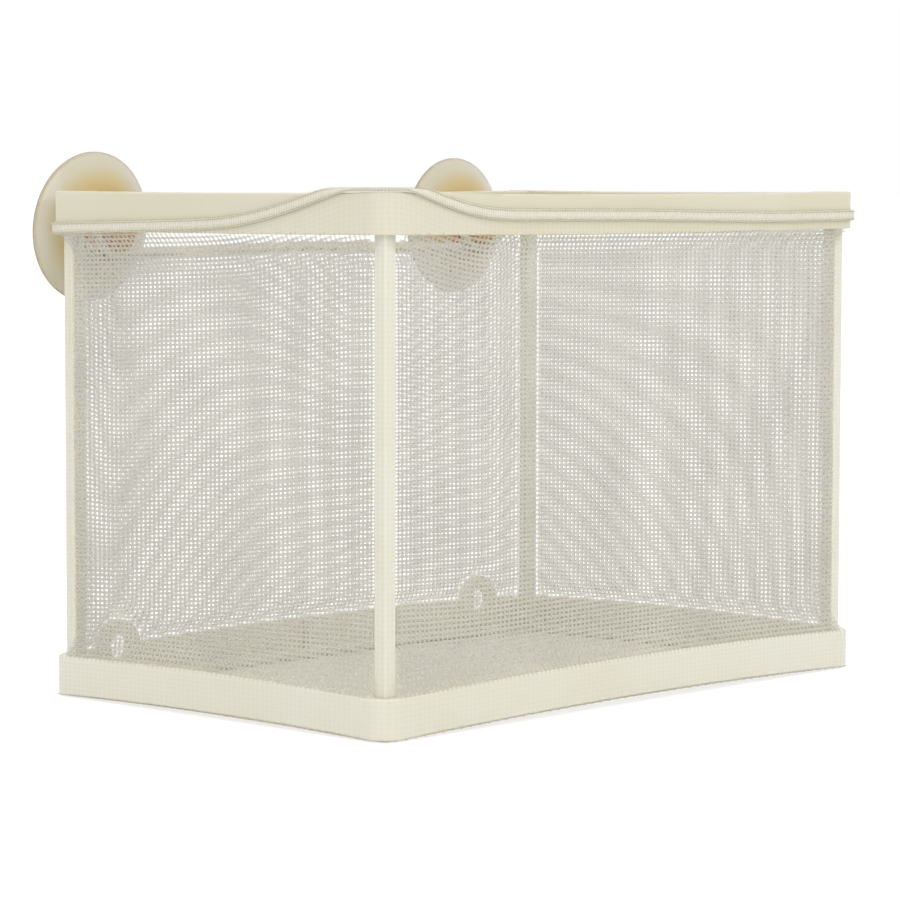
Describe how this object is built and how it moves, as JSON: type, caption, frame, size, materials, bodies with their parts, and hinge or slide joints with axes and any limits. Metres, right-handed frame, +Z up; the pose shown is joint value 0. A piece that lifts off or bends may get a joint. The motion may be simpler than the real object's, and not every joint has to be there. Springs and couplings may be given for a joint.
{
  "type": "fish breeding box",
  "caption": "Net fish breeding box: two moulded frames on corner posts, a fine net bag with an elastic hem pulled over them, and suction cups clipped in eyes at the back",
  "frame": {"origin": "on the surface the box stands on, at the middle of its frames in length and depth", "axes": "+Z up, X along the long sides, +Y towards the side with the suction cups"},
  "size_m": [0.1746, 0.1207, 0.1286],
  "materials": {
    "frame_moulding": "injection-moulded ivory plastic, satin to glossy",
    "post": "extruded ivory plastic, satin",
    "net": "fine off-white woven net, see-through between its threads",
    "hem_tape": "folded off-white net hem with two rows of stitching",
    "elastic": "thin white elastic",
    "soft_vinyl": "soft clear vinyl with a yellow tint, glossy, amber where it is thick"
  },
  "bodies": {
    "basket": {"top_frame": "frame_moulding", "bottom_frame": "frame_moulding", "front_left_post": "post", "front_right_post": "post", "back_left_post": "post", "back_right_post": "post", "net_front": "net", "net_back": "net", "net_left": "net", "net_right": "net", "net_floor": "net", "net_hem": "hem_tape", "hem_elastic": "elastic"},
    "left_cup": {"left_suction_cup": "soft_vinyl"},
    "right_cup": {"right_suction_cup": "soft_vinyl"}
  },
  "joints": [
    {"name": "left_cup_swivel", "type": "hinge", "parent": "basket", "child": "left_cup", "pos_m": [-0.065, 0.0545, 0.1106], "axis": [0, 1, 0], "continuous": true},
    {"name": "right_cup_swivel", "type": "hinge", "parent": "basket", "child": "right_cup", "pos_m": [0.065, 0.0545, 0.1106], "axis": [0, 1, 0], "continuous": true}
  ]
}
